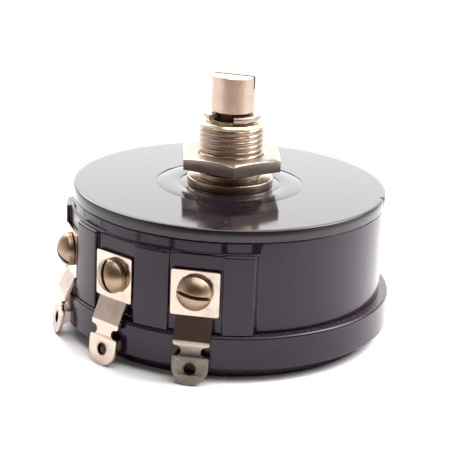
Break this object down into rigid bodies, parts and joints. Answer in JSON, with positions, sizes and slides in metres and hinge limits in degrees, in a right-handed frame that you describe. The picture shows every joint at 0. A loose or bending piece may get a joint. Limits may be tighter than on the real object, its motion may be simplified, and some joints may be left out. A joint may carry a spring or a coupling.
{
  "type": "panel potentiometer",
  "caption": "Panel-mounting wirewound potentiometer: black phenolic drum case with side screw terminals and solder lugs, threaded bushing, hex nut and slotted shaft.",
  "frame": {"origin": "centre of the rear cover's outer face, on the shaft axis", "axes": "+Z along the shaft axis towards the shaft's slotted end; the centre terminal faces -Y"},
  "size_m": [0.0494, 0.0512, 0.0385],
  "materials": {
    "polished_phenolic": "polished black phenolic",
    "phenolic": "satin black moulded phenolic",
    "nickel_brass": "nickel-plated brass, plating worn warm",
    "nickel_steel": "nickel-plated steel",
    "tinned_brass": "tinned, slightly dull",
    "brass": "plain machined brass",
    "steel": "zinc-plated steel",
    "bronze": "phosphor-bronze spring strip",
    "card": "varnished fibre former",
    "resistance_wire": "close-wound resistance wire"
  },
  "bodies": {
    "case": {"front_plate": "polished_phenolic", "case_wall": "phenolic", "base_ring": "phenolic", "rear_cover": "phenolic", "rear_cover_screw_1": "steel", "rear_cover_screw_2": "steel", "rear_cover_screw_3": "steel", "bushing": "nickel_brass", "bushing_lock_nut": "nickel_brass", "collector_spring": "bronze", "element_card": "card", "resistance_winding": "resistance_wire", "end_clamp_left": "tinned_brass", "end_clamp_right": "tinned_brass", "terminal_strap_left": "tinned_brass", "terminal_strap_right": "tinned_brass", "terminal_insert_left": "brass", "terminal_insert_centre": "brass", "terminal_insert_right": "brass", "terminal_lug_left": "tinned_brass", "terminal_lug_centre": "tinned_brass", "terminal_lug_right": "tinned_brass", "terminal_screw_left": "nickel_brass", "terminal_screw_centre": "nickel_brass", "terminal_screw_right": "nickel_brass"},
    "rotor": {"shaft": "nickel_steel", "retaining_clip": "nickel_steel", "thrust_washer": "brass", "stop_arm": "steel", "rotor_hub": "phenolic", "wiper_arm": "bronze", "wiper_contact": "bronze", "slip_ring": "brass", "wiper_rivet_1": "brass", "wiper_rivet_2": "brass"},
    "mounting_nut": {"mounting_nut": "nickel_brass"}
  },
  "joints": [
    {"name": "shaft_turn", "type": "hinge", "parent": "case", "child": "rotor", "pos_m": [0, 0, 0], "axis": [0, 0, 1], "range_deg": [-76.7, 208.3]},
    {"name": "nut_travel", "type": "slide", "parent": "case", "child": "mounting_nut", "axis": [0, 0, 1], "range_m": [-0.0016, 0.0046]}
  ]
}
